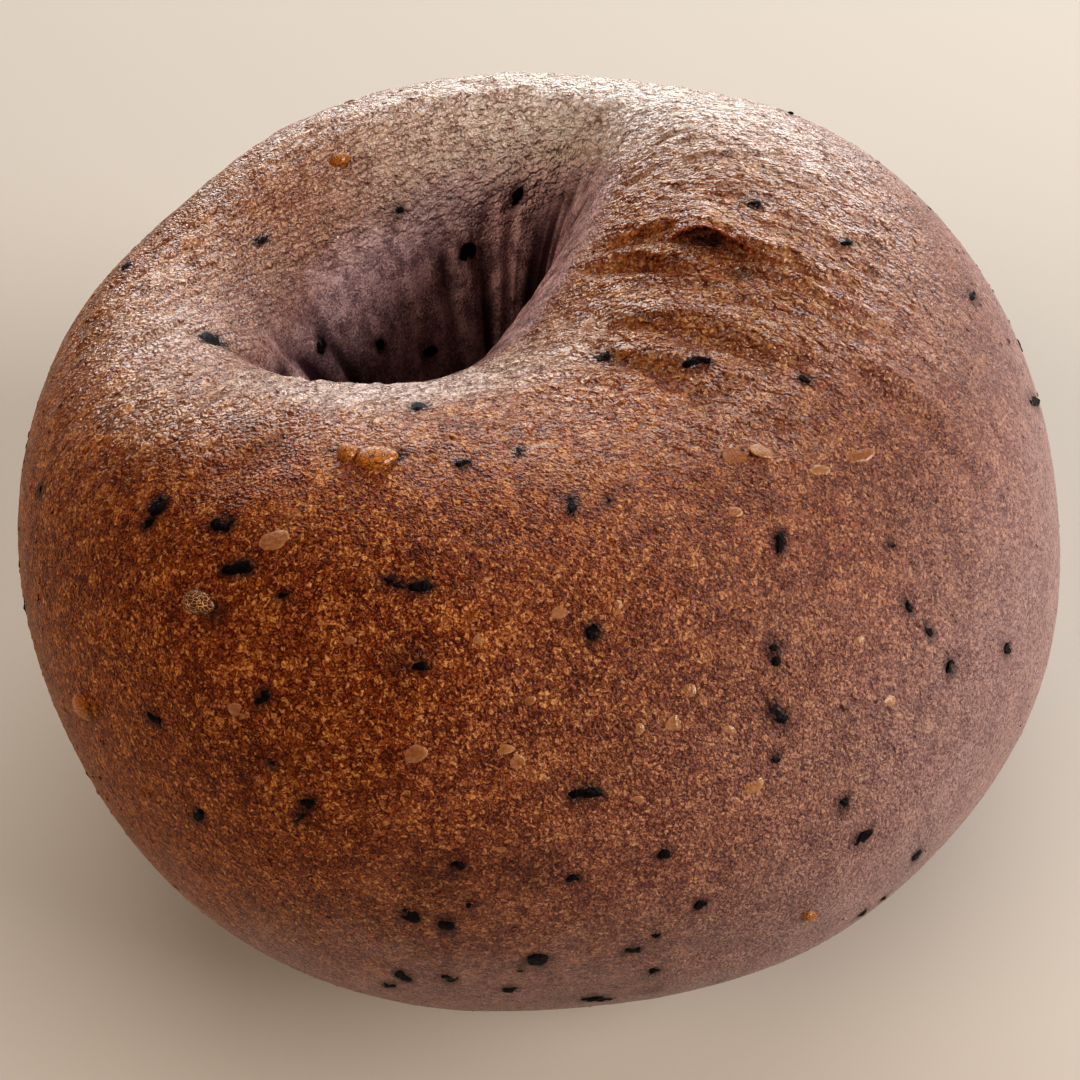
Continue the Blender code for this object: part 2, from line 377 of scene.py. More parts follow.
marks = {
    # (turn, roll) of the start and the end, half width, and height, which is below zero for a crease
    "drawn": (
        ((250, 96), (238, 79), 1.6 * mm, -0.55 * mm),  # furrow on the left shoulder
        ((328, 71), (329, 58), 1.1 * mm, -0.5 * mm),  # crease at the right
        ((338, 97), (337, 88), 1.5 * mm, -0.7 * mm),  # hollow in front of the blister
        ((343, 104), (337, 82), 2.4 * mm, 0.8 * mm),  # swelling behind it
        ((279, 147), (262, 140), 2.2 * mm, 0.9 * mm),  # lobe on the hole's near lip
        ((203, 115), (208, 140), 1.2 * mm, -0.8 * mm),  # notch at the hole's left corner
        ((313, 108), (323.5, 78.5), 0.9 * mm, -0.45 * mm),  # wrinkles over the right shoulder
        ((317, 108), (327.5, 79), 1.3 * mm, 0.35 * mm),
        ((307, 103), (310.5, 84.5), 0.8 * mm, -0.42 * mm),
        ((310.5, 103), (314, 86), 1.1 * mm, 0.3 * mm),
        ((329, 121), (330, 93), 0.8 * mm, -0.38 * mm),
        ((332, 121), (333, 96), 1.1 * mm, 0.32 * mm),
        ((336.5, 120), (337, 105), 0.8 * mm, -0.4 * mm),
        ((340, 120), (342, 106), 1.0 * mm, 0.3 * mm),
        ((271, 19), (285, 24), 1.3 * mm, -0.35 * mm),  # swirl low on the front
        ((278, 4), (290, -1), 1.3 * mm, -0.3 * mm),
        ((261, -8), (281, -8), 8.0 * mm, -0.6 * mm),  # the front of the belly is a little flat
    ),
    "fine": (
        # too narrow for the solid's facets: more of the crease, and the rim of the blister
        ((328, 58), (329, 50), 0.6 * mm, -0.30 * mm),
        ((331.5, 73), (332, 57), 0.8 * mm, 0.22 * mm),
        ((341.5, 87), (341, 82), 0.7 * mm, 0.42 * mm),
        ((339.5, 86), (339, 81.5), 0.6 * mm, -0.34 * mm),
        ((342, 101), (340, 89), 0.9 * mm, 0.55 * mm),
    ),
    "pleatCount": 15,
    "pleatRolls": (134, 186),
    "pleatWidth": 1.0 * mm,
    "pleatDepth": 0.75 * mm,
    "lumpHeight": 0.25 * mm,
    "fadeHeight": 5.0 * mm,
    "steps": 14,
    "seed": 7,
}


def allMarks():
    random = np.random.default_rng(marks["seed"])
    listed = list(marks["drawn"])
    for index in range(marks["pleatCount"]):
        turn = 360 * index / marks["pleatCount"] + random.uniform(-6, 6)
        first = marks["pleatRolls"][0] + random.uniform(-6, 10)
        depth = -marks["pleatDepth"] * random.uniform(0.4, 1.0)
        end = (turn - random.uniform(-3, 5), marks["pleatRolls"][1])
        listed.append(((turn, first), end, marks["pleatWidth"], depth))
    return listed


def makeMarkTree(ringTree):
    # how far one mark lifts the crust at a place
    given = {
        "Place": ("Vector", None),
        "Start": ("Vector", None),
        "End": ("Vector", None),
        "Width": ("Float", 1.0 * mm),
        "Height": ("Float", 1.0 * mm),
    }
    tree, given, leave = newTree("crustMark", given, {"Lift": "Float"})
    line = addNode(tree, "GeometryNodeCurvePrimitiveLine", {"Start": given["Start"], "End": given["End"]})
    line = addNode(tree, "GeometryNodeResampleCurve", {"Curve": line, "Count": marks["steps"]})
    turn, roll, flat = split(addNode(tree, "GeometryNodeInputPosition"))
    onRing = useGroup(tree, ringTree, {"Turn": turn, "Roll": roll})
    line = addNode(tree, "GeometryNodeSetPosition", {"Geometry": line, "Position": onRing})
    line = addNode(tree, "GeometryNodeCurveToMesh", {"Curve": line})
    near = tree.nodes.new("GeometryNodeProximity")
    near.target_element = "EDGES"
    feed(tree, near.inputs["Geometry"], line)
    feed(tree, near.inputs["Sample Position"], given["Place"])
    ends = []
    for label in ("Start", "End"):
        turn, roll, flat = split(given[label])
        ends.append(useGroup(tree, ringTree, {"Turn": turn, "Roll": roll}))
    nearest = Amount(tree, near.outputs["Position"])
    gone = vectorCalc("DISTANCE", nearest, ends[0], output="Value")
    whole = vectorCalc("DISTANCE", ends[1], ends[0], output="Value")
    share = calc("MINIMUM", gone / whole, 1.0)
    fade = calc("SQRT", calc("SINE", (share * 0.88 + 0.06) * math.pi))
    far = Amount(tree, near.outputs["Distance"]) / given["Width"]
    lift = given["Height"] * fade * calc("EXPONENT", -(far * far))
    tree.links.new(lift.socket, leave.inputs["Lift"])
    return tree


# ---- the crust

crustPiece = {
    "columns": 541,  # points round the hole
    "rows": 181,  # points round the dough
    "columnCrowding": 110,  # degrees; points crowd together at the front right
    "crowdedTurn": 290,
    "rowCrowding": 190,  # degrees; points crowd together on the crown
    "crowdedRoll": 85,
    "seamGap": 0.01 * mm,
    "archBend": 0.0165,  # per mm; the grain of the dough arches over the near rim
    "archMiddle": 6.0,  # mm
    "fanMiddle": (-10, 13),  # mm; behind the hole it fans out instead
    "fanTurn": 35,
    "wrinkleLong": 7.0,  # mm
    "wrinkleApart": 1.5,
    "pebbleLong": 1.8,
    "pebbleApart": 0.9,
    "foldApart": 2.6,
    "edgePatches": 0.16,  # per mm
    "edgeSpecks": 1.1,
    "mottles": 0.55,
    "broadPatches": 0.09,
    "topWrinkles": 0.31 * mm,
    "rightWrinkles": 0.12 * mm,
    "frontWrinkles": 0.04 * mm,
    "pebbles": 0.30 * mm,
    "folds": 0.45 * mm,
}


# where the crust changes, as turns round the hole and rolls round the dough, in degrees
zones = {
    "ragged": (26, 12),  # how far patches and specks shift an edge
    "crownStart": 64,
    "crownFade": (-16, 20),
    "crownLater": (268, 30),  # the turn where it starts later, and by how much
    "crownEnd": (135, 118),
    "crownLonger": (85, 14),
    "rightTurn": 324,
    "folds": ((120, 150), (225, 195)),  # where they start and end
    "hollow": ((120, 134), (262, 250)),
    "hollowLower": (203, 10),
    "beltMiddle": 290,
    "beltHeight": (43, -30),
    "beltRight": (350, 46),
    "beltLow": (-85, -60),
    "leanTurn": 15,  # the dough is paler on this side and underneath
    # where the painted sheen of a window's glare lies
    "backSheen": 70,
    "lipSheen": 268,
    "leftSheen": 195,
}


def facing(turn, way, power):
    # one on the side that lies this way round the hole, and nothing past a quarter turn from it
    return calc("MAXIMUM", cosine(turn - way), 0.0) ** power


def makeCrustTree(material):
    p, zone = crustPiece, zones
    ringTree = makeRingTree()
    markTree = makeMarkTree(ringTree)
    inputs = {
        "Columns": ("Int", p["columns"]),
        "Rows": ("Int", p["rows"]),
        "Top Wrinkles": ("Float", p["topWrinkles"]),
        "Right Wrinkles": ("Float", p["rightWrinkles"]),
        "Front Wrinkles": ("Float", p["frontWrinkles"]),
        "Pebbles": ("Float", p["pebbles"]),
        "Folds": ("Float", p["folds"]),
    }
    tree, given, leave = newTree("bagelCrust", inputs, {"Geometry": "Geometry"})
    grid = tree.nodes.new("GeometryNodeMeshGrid")
    feed(tree, grid.inputs["Vertices X"], given["Columns"])
    feed(tree, grid.inputs["Vertices Y"], given["Rows"])
    across, down, flat = split(Amount(tree, grid.outputs["UV Map"]))
    crowd = p["columnCrowding"] / (2 * math.pi)
    turnAt = across * 360 + p["crowdedTurn"]
    turn = turnAt - crowd * sine(across * 360)
    crowd = p["rowCrowding"] / (2 * math.pi)
    roll = down * 360 + p["crowdedRoll"] - crowd * sine(down * 360)
    shape = Amount(tree, grid.outputs["Mesh"])
    shape = storeOn(shape, "turn", turn)
    shape = storeOn(shape, "roll", calc("FLOORED_MODULO", roll, 360.0))
    turn, roll = readBack(tree, "turn"), readBack(tree, "roll")
    onRing = useGroup(tree, ringTree, {"Turn": turn, "Roll": roll})
    shape = addNode(tree, "GeometryNodeSetPosition", {"Geometry": shape, "Position": onRing})
    place = addNode(tree, "GeometryNodeInputPosition")
    inMm = vectorCalc("SCALE", place, 1000.0)
    x, y, z = split(inMm)

    # two ways that the dough's grain runs: an arch over the near rim, and a fan from the hole at the back
    bend = x - p["archMiddle"]
    archAcross = y + bend * bend * p["archBend"] + z * 0.8
    arch = vector(x, archAcross, z * 0.3)
    fromHole = vector(x - p["fanMiddle"][0], y - p["fanMiddle"][1], 0.0)
    far = vectorCalc("LENGTH", fromHole, output="Value")
    direction = vectorCalc("SCALE", vectorCalc("NORMALIZE", fromHole), 26.0)
    fan = vectorCalc("ADD", direction, vector(0.0, 0.0, far))
    fanShare = ramp(cosine(turn - p["fanTurn"]), 0.55, 0.85)
    shape = storeOn(shape, "grain", arch, "FLOAT_VECTOR")
    outward = addNode(tree, "GeometryNodeInputNormal")
    uphill = vector(bend * (2 * p["archBend"]), 1.0, 0.8)
    along = vectorCalc("NORMALIZE", vectorCalc("CROSS_PRODUCT", uphill, outward))
    along = vectorCalc("SCALE", along, 1 - fanShare)
    along = vectorCalc("ADD", along, vectorCalc("SCALE", vectorCalc("NORMALIZE", fromHole), fanShare))
    shape = storeOn(shape, "along", along, "FLOAT_VECTOR")

    def grained(longways, apart, make):
        # a pattern stretched along the grain
        first = make(vectorCalc("MULTIPLY", arch, (1 / longways, 1 / apart, 1 / longways)))
        second = make(vectorCalc("MULTIPLY", fan, (1 / apart, 1 / apart, 1 / longways)))
        return first * (1 - fanShare) + second * fanShare

    # one on the crown and nothing elsewhere, with a ragged edge
    patch = noise(inMm, p["edgePatches"], 3.0)
    speck = noise(inMm, p["edgeSpecks"], 2.0)
    ragged = (patch - 0.5) * zone["ragged"][0] + (speck - 0.5) * zone["ragged"][1]
    starts = zone["crownStart"] + facing(turn, zone["crownLater"][0], 3) * zone["crownLater"][1]
    ends = facing(turn, zone["crownLonger"][0], 2) * zone["crownLonger"][1]
    top = ramp(roll + ragged, starts + zone["crownFade"][0], starts + zone["crownFade"][1])
    top = top * ramp(roll, ends + zone["crownEnd"][0], ends + zone["crownEnd"][1])
    right = ramp(cosine(turn - zone["rightTurn"]), 0.62, 0.9) * top
    wrinkle = grained(p["wrinkleLong"], p["wrinkleApart"], lambda at: noise(at, 1.0, 2.0) * 2 - 1)
    pebble = grained(p["pebbleLong"], p["pebbleApart"], lambda at: 0.5 - cells(at, 1.0))
    wrinkleHeight = given["Front Wrinkles"] + top * given["Top Wrinkles"] + right * given["Right Wrinkles"]
    pebbleHeight = given["Pebbles"] * (top * 0.86 + 0.14)
    hole = ramp(roll, *zone["folds"][0]) * ramp(roll, *zone["folds"][1])
    wall = vector(cosine(turn) * 20, sine(turn) * 20, roll * 0.035)
    fold = noise(wall, 1 / p["foldApart"], 1.0) * 2 - 1
    lift = wrinkle * wrinkleHeight + pebble * pebbleHeight + fold * hole * given["Folds"]

    # the solid's wrinkles, lumps and marks
    size = 1000 * ring["reach"]
    lumps = calc("SINE", x * (5 / size) + z * (2 / size) + 1)
    lumps = lumps * calc("COSINE", y * (4 / size) - z * (3 / size))
    lumps = lumps + calc("SINE", y * (9 / size) + x * (7 / size)) * 0.6
    lift = lift + lumps * marks["lumpHeight"]
    for start, end, width, height in (*allMarks(), *marks["fine"]):
        inputs = {"Place": place, "Start": (*start, 0), "End": (*end, 0), "Width": width, "Height": height}
        lift = lift + useGroup(tree, markTree, inputs)
    lift = lift * ramp(z, 0.0, 1000 * marks["fadeHeight"], smooth=False)
    shape = storeOn(shape, "lift", lift)

    # where the crust is browned: not down in the hole, nor on the belt round its belly
    low = facing(turn, zone["hollowLower"][0], 4) * zone["hollowLower"][1]
    inHole = ramp(roll + ragged * 0.7 - low, *zone["hollow"][0]) * ramp(roll, *zone["hollow"][1])
    beltEdge = cosine(turn - zone["beltMiddle"]) * zone["beltHeight"][0] + zone["beltHeight"][1]
    beltEdge = calc("MAXIMUM", beltEdge, -12.0) + facing(turn, zone["beltRight"][0], 3) * zone["beltRight"][1]
    belowEdge = calc("FLOORED_MODULO", roll + 90, 360.0) - 90
    onBelt = ramp(belowEdge + ragged, beltEdge + 13, beltEdge - 14) * ramp(belowEdge, *zone["beltLow"])
    lean = cosine(turn - zone["leanTurn"]) * cosine(belowEdge) * 0.92 - sine(belowEdge) * 0.72
    halfBaked = ramp(lean + ragged * 0.008, -0.80, 0.20, smooth=False)
    paleness = calc("MAXIMUM", calc("MAXIMUM", inHole, onBelt * 0.8), halfBaked)
    shape = storeOn(shape, "pale", paleness)
    shape = storeOn(shape, "top", top)

    # painted sheen: a paler colour round the back of the crown, on the near lip and a little on the left,
    # standing in for a window's glare there
    back = facing(turn, zone["backSheen"], 1.5) * ramp(roll, 62, 84) * ramp(roll + ragged, 146, 118)
    lip = facing(turn, zone["lipSheen"], 5) * ramp(roll + ragged * 0.4, 98, 110) * ramp(roll, 134, 120)
    left = facing(turn, zone["leftSheen"], 4) * ramp(roll + ragged, 74, 92) * ramp(roll, 130, 112)
    glaze = calc("MAXIMUM", back, calc("MAXIMUM", lip * 0.8, left * 0.2))
    shape = storeOn(shape, "glaze", glaze)
    shape = storeOn(shape, "depth", inHole)
    shape = storeOn(shape, "mottle", noise(inMm, p["mottles"], 3.0))
    shape = storeOn(shape, "broad", noise(inMm, p["broadPatches"], 1.0))
    scaled = ramp(roll, 60, 84) * 0.75 + 0.25 + ramp(cosine(turn - 200), 0.5, 0.9) * 0.3
    scaled = top * (1 - inHole) * scaled
    shape = storeOn(shape, "scaled", calc("MINIMUM", scaled, 1.0))
    crumbed = (1 - inHole) * ramp(z, 1.0, 6.0) * (1 - onBelt * 0.8)
    shape = storeOn(shape, "crumbed", crumbed)

    merge = {"Geometry": shape, "Distance": p["seamGap"]}
    shape = addNode(tree, "GeometryNodeMergeByDistance", merge)
    normal = addNode(tree, "GeometryNodeInputNormal")
    move = vectorCalc("SCALE", normal, readBack(tree, "lift"))
    shape = addNode(tree, "GeometryNodeSetPosition", {"Geometry": shape, "Offset": move})
    shape = addNode(tree, "GeometryNodeTransform", {"Geometry": shape, "Translation": (*ring["middle"], 0)})
    shape = addNode(tree, "GeometryNodeSetShadeSmooth", {"Geometry": shape})
    shape = addNode(tree, "GeometryNodeRealizeInstances", {"Geometry": shape})
    shape = addNode(tree, "GeometryNodeSetMaterial", {"Geometry": shape, "Material": material})
    tree.links.new(shape.socket, leave.inputs["Geometry"])
    return tree


crustLook = {
    "crevice": (0.080, 0.015, 0.004),
    "brown": (0.230, 0.062, 0.014),
    "tan": (0.50, 0.235, 0.076),
    # colour of the painted highlights
    "paintedGlint": (0.66, 0.40, 0.17),
    "mauve": (0.40, 0.260, 0.232),
    "mauveDark": (0.155, 0.082, 0.084),
    "hollow": (0.66, 0.46, 0.46),
    "hollowDark": (0.22, 0.135, 0.15),
    # the pale colour of the painted sheen
    "paintedSheenColour": (0.74, 0.62, 0.56),
    # colour of the painted shade in the hole's folds
    "crease": (0.055, 0.024, 0.030),
    "scorched": (0.34, 0.075, 0.017),
    # colour of the juice stains and of the painted shadow under the blister
    "stainAndShadow": (0.022, 0.008, 0.010),
    "grain": 0.31,  # mm
    "bump": 0.22 * mm,
    "chunks": (0.9, 1.5, 0.9),  # per mm across the crown, up it and out of it
    "chunkHeight": 3.4,
    "specular": (0.18, 0.7),  # on the front and on the crown
    "roughness": (0.26, 0.48),
}


def makeCrustMaterial():
    look = crustLook
    material, tree = newMaterial("brownedCrust")
    place = placeInMm(tree)
    names = ("pale", "depth", "top", "stainAndShadow", "scorch", "tint", "mottle", "broad", "lift", "glaze")
    share = {name: attributeOf(tree, name) for name in names}
    top, pale, mottle = share["top"], share["pale"], share["mottle"]

    # granules with dark cracks between them, the cracks partly painted shade, and painted highlights, pale
    # glints, on some
    shift = vectorCalc("SCALE", noise(place, 2.6, 0.0, output="Color"), 0.4)
    bent = vectorCalc("ADD", place, shift)
    granule = cells(bent, 1 / look["grain"])
    grain = split(alsoOf(granule, "Color"))[0]
    grit = noise(bent, 6.0, 1.0)
    crack = (cells(bent, 1 / look["grain"], "F2") - granule) * 0.5
    # the cracks take the darkest brown: partly the crust's own colour, partly painted shade in them
    body = ramp(crack + (grit - 0.5) * 0.10, 0.0, 0.13)
    bright = grain * 0.50 + body * (1 - top * 0.8) * 0.46 + share["tint"] * 0.34
    # top * 0.46 is painted sheen: the crown is made lighter to stand in for a window's haze on it
    bright = bright + (mottle - 0.5) * 0.9 + (grit - 0.5) * 0.8 + top * 0.46 - 0.16
    baked = mixColours(ramp(bright, 0.05, 0.5), look["crevice"], look["brown"])
    baked = mixColours(ramp(bright, 0.45, 1.1), baked, look["tan"])
    # painted highlights: pale spots where the grit and grain are highest
    paintedGlint = ramp(grit + grain * 0.3, 0.76, 0.90) * 0.34
    baked = mixColours(paintedGlint, baked, look["paintedGlint"])
    raw = mixColours(ramp(bright, -0.3, 1.0), look["mauveDark"], look["mauve"])
    colour = mixColours(pale, baked, raw)
    colour = mixColours(ramp(share["broad"], 0.3, 0.7, 0.0, 0.28), colour, (1.25, 1.15, 1.1), "MULTIPLY")
    # painted sheen: the colour is pulled towards a pale one where a window's glare would fall
    colour = mixColours(share["glaze"] * ramp(bright, 0.25, 0.75, 0.3, 1.0), colour, look["paintedSheenColour"])
    # painted shade: the crown is darkened towards the crevice colour where its crust sinks into creases
    low = ramp(share["lift"], -0.1 * mm, -0.7 * mm, 0.0, 0.5) * top
    colour = mixColours(low, colour, look["crevice"])
    hollow = mixColours(ramp(bright * 0.5 + mottle, 0.4, 1.0), look["hollowDark"], look["hollow"])
    colour = mixColours(share["depth"] * 0.85, colour, hollow)
    # painted shade: the hole's wall is darkened where its crust sinks into folds
    fold = ramp(share["lift"], 0.0, -0.6 * mm)
    colour = mixColours(share["depth"] * fold, colour, look["crease"])
    # juice stains, and painted shadow under the blister's edge
    colour = mixColours(share["stainAndShadow"] * ramp(mottle + grit * 0.5, 0.35, 0.75), colour, look["stainAndShadow"])
    colour = mixColours(share["scorch"] * ramp(grit, 0.2, 0.6, 0.55, 1.0), colour, look["scorched"])
    rough = ramp(grit + (grain - 0.5) * 0.4, 0.3, 0.8, *look["roughness"])

    # chunks along the dough's grain on the crown, and a fine roughness all over
    arch = vectorCalc("ADD", attributeOf(tree, "grain", "Vector"), vectorCalc("SCALE", shift, 2.0))
    chunk = cells(vectorCalc("MULTIPLY", arch, look["chunks"]), 1.0)
    chunk = (split(alsoOf(chunk, "Color"))[0] * 0.7 - chunk * chunk * 0.9) * top * look["chunkHeight"]
    fine = noise(place, 4.0, 1.0) * 1.6
    inputs = {
        "Base Color": colour,
        "Specular IOR Level": ramp(top, 0.0, 1.0, *look["specular"]),
        "Roughness": rough * (1 - top * 0.25),
    }
    shade(tree, inputs, fine * (1 - pale * 0.5) * (1 - top * 0.35) + chunk, look["bump"])
    return material


crustMaterial = makeCrustMaterial()
crustTree = makeCrustTree(crustMaterial)
crust = bakeTree("crust", crustTree, {"Columns": crustPiece["columns"], "Rows": crustPiece["rows"]})
print("crust made:", len(crust.data.polygons), "faces")

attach(crust, "root")
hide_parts("bagel")


# ---- places on the crust

def finderOf(piece):
    # finds where lines of sight meet a piece, and the places on it that are nearest to others
    points = [vertex.co for vertex in piece.data.vertices]
    faces = [face.vertices for face in piece.data.polygons]
    return BVHTree.FromPolygons(points, faces)


def seenAt(x, y):
    # the place on the crust behind a pixel, and its normal there
    place, normal, face, far = finder.ray_cast(camera.location, rayThrough(camera, x, y))
    return place, normal


def markUnseen(crust):
    # the share of scattered bits that each point takes: none where the camera sees it
    mesh = crust.data
    count = len(mesh.vertices)
    points, normals = np.empty(count * 3), np.empty(count * 3)
    mesh.vertices.foreach_get("co", points)
    mesh.vertices.foreach_get("normal", normals)
    sight = np.array(camera.location) - points.reshape(-1, 3)
    towards = (normals.reshape(-1, 3) * sight).sum(1) / np.linalg.norm(sight, axis=1)
    storeValues(mesh, "unseen", np.clip((0.12 - towards) / 0.1, 0, 1))


pixel = 0.08 * mm  # about what a pixel spans on the crust


def pickedPoints(name, picks, thickness):
    # points on the crust with the sizes and directions of bits seen in the photograph
    rows = []
    for x, y, longPixels, widePixels, lean, *tint in picks:
        place, normal = seenAt(x, y)
        if place is None:
            print("no crust behind", name, x, y)
            continue
        angle = math.radians(lean)
        ways = ((math.cos(angle), -math.sin(angle)), (math.sin(angle), math.cos(angle)))
        sides = []
        for pixels, way in zip((longPixels, widePixels), ways):
            half = min(pixels, 10) / 2
            ends = [seenAt(x + way[0] * half * end, y + way[1] * half * end)[0] for end in (-1, 1)]
            if None in ends:
                across = camera.rotation_euler.to_matrix() @ Vector((way[0], -way[1], 0))
                sides.append((across - normal * across.dot(normal)).normalized() * pixels * pixel)
            else:
                sides.append((ends[1] - ends[0]) * (pixels / (2 * half)))
        length = sides[0].length
        width = min(sides[1].length, 2.2 * widePixels * pixel)
        size = (length, width, thickness * min(1, length / (1.5 * mm)))
        darkness = tint[0] if tint else (len(rows) * 0.618) % 1
        rows.append((place, sides[0].normalized(), normal, size, darkness))
    mesh = bpy.data.meshes.new(name)
    mesh.from_pydata([row[0] for row in rows], [], [])
    for index, label in ((1, "longways"), (2, "outward"), (3, "bitSize")):
        storeValues(mesh, label, [tuple(row[index]) for row in rows], "FLOAT_VECTOR")
    storeValues(mesh, "tint", [row[4] for row in rows])
    return mesh


def makeBitsTree():
    # puts a copy of one shape at each picked point, and at seeded random points where the camera doesn't look
    inputs = {
        "Picked": ("Geometry", None),
        "Crust": ("Object", None),
        "Shape": ("Object", None),
        "Per Square Metre": ("Float", 1000.0),
        "Share": ("String", "unseen"),
        "Along Grain": ("Float", 0.0),
        "Tilt": ("Float", 0.0),
        "Smallest": ("Vector", None),
        "Largest": ("Vector", None),
        "Sunk": ("Float", 0.3),
        "Ragged": ("Float", 0.1 * mm),
        "Ragged Scale": ("Float", 1000.0),
        "Seed": ("Int", 1),
        "Material": ("Material", None),
    }
    tree, given, leave = newTree("bakedInBits", inputs, {"Geometry": "Geometry"})
    crust = addNode(tree, "GeometryNodeObjectInfo", {"Object": given["Crust"]}, "Geometry")
    spread = tree.nodes.new("GeometryNodeDistributePointsOnFaces")
    outward = readBack(tree, "outward", "FLOAT_VECTOR")
    longways = readBack(tree, "longways", "FLOAT_VECTOR")
    bitSize = readBack(tree, "bitSize", "FLOAT_VECTOR")
    share = readBack(tree, given["Share"])
    density = given["Per Square Metre"] * share
    for label, value in (("Mesh", crust), ("Density", density), ("Seed", given["Seed"])):
        feed(tree, spread.inputs[label], value)
    scattered = Amount(tree, spread.outputs["Points"])
    normal = Amount(tree, spread.outputs["Normal"])
    scattered = storeOn(scattered, "outward", normal, "FLOAT_VECTOR")
    way = {"Min": (-1, -1, -1), "Max": (1, 1, 1), "Seed": given["Seed"]}
    way = addNode(tree, "FunctionNodeRandomValue", way, data_type="FLOAT_VECTOR")
    along = vectorCalc("SCALE", readBack(tree, "along", "FLOAT_VECTOR"), given["Along Grain"] * 3)
    way = vectorCalc("ADD", way, along)
    way = vectorCalc("CROSS_PRODUCT", vectorCalc("CROSS_PRODUCT", outward, way), outward)
    scattered = storeOn(scattered, "longways", vectorCalc("NORMALIZE", way), "FLOAT_VECTOR")
    lean = {2: -given["Tilt"], 3: given["Tilt"], "Seed": given["Seed"] + 3}
    lean = addNode(tree, "FunctionNodeRandomValue", lean, 1, data_type="FLOAT")
    side = vectorCalc("CROSS_PRODUCT", outward, longways)
    leaning = vectorCalc("ADD", outward, vectorCalc("SCALE", side, lean))
    scattered = storeOn(scattered, "outward", vectorCalc("NORMALIZE", leaning), "FLOAT_VECTOR")
    draw = {"Seed": given["Seed"] + 5}
    draw = addNode(tree, "FunctionNodeRandomValue", draw, 1, data_type="FLOAT")
    draw = draw * draw
    size = vectorCalc("SUBTRACT", given["Largest"], given["Smallest"])
    size = vectorCalc("ADD", given["Smallest"], vectorCalc("SCALE", size, draw))
    size = vectorCalc("SCALE", size, share * 0.5 + 0.5)
    scattered = storeOn(scattered, "bitSize", size, "FLOAT_VECTOR")
    tint = addNode(tree, "FunctionNodeRandomValue", {"Seed": given["Seed"] + 9}, 1, data_type="FLOAT")
    scattered = storeOn(scattered, "tint", tint)
    picked = addNode(tree, "GeometryNodeMeshToPoints", {"Mesh": given["Picked"]})
    join = tree.nodes.new("GeometryNodeJoinGeometry")
    for points in (scattered, picked):
        tree.links.new(points.socket, join.inputs[0])
    points = Amount(tree, join.outputs[0])
    turned = tree.nodes.new("FunctionNodeAxesToRotation")
    turned.primary_axis = "Z"
    turned.secondary_axis = "X"
    feed(tree, turned.inputs[0], outward)
    feed(tree, turned.inputs[1], longways)
    shape = addNode(tree, "GeometryNodeObjectInfo", {"Object": given["Shape"]}, "Geometry")
    inputs = {
        "Points": points,
        "Instance": shape,
        "Rotation": Amount(tree, turned.outputs[0]),
        "Scale": bitSize,
    }
    shape = addNode(tree, "GeometryNodeInstanceOnPoints", inputs)
    shape = addNode(tree, "GeometryNodeRealizeInstances", {"Geometry": shape})
    place = addNode(tree, "GeometryNodeInputPosition")
    jog = noise(place, given["Ragged Scale"], 1.0, output="Color")
    jog = vectorCalc("SCALE", vectorCalc("SUBTRACT", jog, (0.5, 0.5, 0.5)), given["Ragged"] * 2)
    sink = vectorCalc("SCALE", outward, -(split(bitSize)[2] * given["Sunk"]))
    move = {"Geometry": shape, "Offset": vectorCalc("ADD", jog, sink)}
    shape = addNode(tree, "GeometryNodeSetPosition", move)
    shape = addNode(tree, "GeometryNodeSetShadeSmooth", {"Geometry": shape})
    shape = addNode(tree, "GeometryNodeSetMaterial", {"Geometry": shape, "Material": given["Material"]})
    tree.links.new(shape.socket, leave.inputs["Geometry"])
    return tree


def makeBall(name, segments, rings, bend):
    # a ball of unit width, its poles along X, shaped by a rule for each of its points
    corners = [(0.5, 0.0, 0.0)]
    for ringNumber in range(1, rings):
        angle = math.pi * ringNumber / rings
        for segment in range(segments):
            around = 2 * math.pi * (segment + 0.5 * (ringNumber % 2)) / segments
            radius = math.sin(angle) / 2
            corners.append((math.cos(angle) / 2, radius * math.cos(around), radius * math.sin(around)))
    corners.append((-0.5, 0.0, 0.0))
    faces = []
    for segment in range(segments):
        after = (segment + 1) % segments
        faces.append((0, 1 + segment, 1 + after))
        last = 1 + (rings - 2) * segments
        faces.append((len(corners) - 1, last + after, last + segment))
        for ringNumber in range(rings - 2):
            start = 1 + ringNumber * segments
            below = start + segments
            faces.append((start + segment, below + segment, below + after, start + after))
    mesh = bpy.data.meshes.new(name)
    mesh.from_pydata([bend(Vector(corner)) for corner in corners], [], faces)
    return addObject(name, mesh)


def makeBits(name, tree, bits, shape, material):
    picked = pickedPoints(name, bits.get("picked", ()), bits.get("thickness", 0))
    piece = bakeTree(name, tree, {
        "Share": bits.get("share", "unseen"),
        "Along Grain": bits.get("alongGrain", 0.0),
        "Tilt": bits.get("tilt", 0.0),
        "Crust": crust,
        "Shape": shape,
        "Per Square Metre": bits["perSquareMetre"],
        "Smallest": bits["smallest"],
        "Largest": bits["largest"],
        "Sunk": bits["sunk"],
        "Ragged": bits["ragged"],
        "Ragged Scale": bits["raggedScale"],
        "Seed": bits["seed"],
        "Material": material,
    }, picked)
    bpy.data.objects.remove(shape)
    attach(piece, "root")
    print(name, "made:", len(piece.data.polygons), "faces")
    return piece


# ---- the blister: a flap of crust that has lifted, with its free edge towards the camera

blister = {
    "edge": (
        # in the photograph's pixels
        (662, 244), (675, 234), (688, 227), (703, 225), (720, 231), (738, 241), (756, 252), (774, 265),
    ),
    "behind": (2, -17),  # pixels from the edge to where the flap leaves the crust
    "height": 0.75 * mm,
    "highest": 0.36,  # share of the edge's length
    "thickness": 0.60 * mm,
    "ragged": 0.18 * mm,
    "stations": 48,
    "steps": 10,
    "seed": 12,
}


